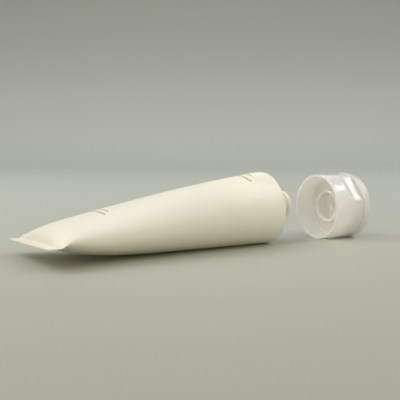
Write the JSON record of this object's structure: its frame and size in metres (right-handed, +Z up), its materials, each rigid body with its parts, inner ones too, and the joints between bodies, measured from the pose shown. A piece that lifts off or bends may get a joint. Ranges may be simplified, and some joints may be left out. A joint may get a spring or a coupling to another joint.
{
  "type": "cosmetic squeeze tube with flip-top cap",
  "caption": "Soft cream-coloured squeeze tube with a flat heat-sealed tail and threaded neck, lying down beside its white flip-top screw cap.",
  "frame": {"origin": "middle of the footprint of tube and cap together, on the surface they lie on", "axes": "+X along the tube from its sealed tail to its neck and on to the cap, +Z up, -Y the side the picture was taken from"},
  "size_m": [0.197, 0.063, 0.0401],
  "materials": {
    "sleeve": "satin cream polyethylene",
    "head": "moulded cream polyethylene",
    "cap": "glossy white polypropylene"
  },
  "bodies": {
    "tube_and_cap": {"sleeve": "sleeve", "tube_head": "head", "cap_base": "cap"},
    "lid": {"flip_lid": "cap"}
  },
  "joints": [
    {"name": "lid_hinge", "type": "hinge", "parent": "tube_and_cap", "child": "lid", "pos_m": [0.0936, 0.012, 0.0072], "axis": [0, 0.6428, 0.766], "range_deg": [0, 150]}
  ]
}
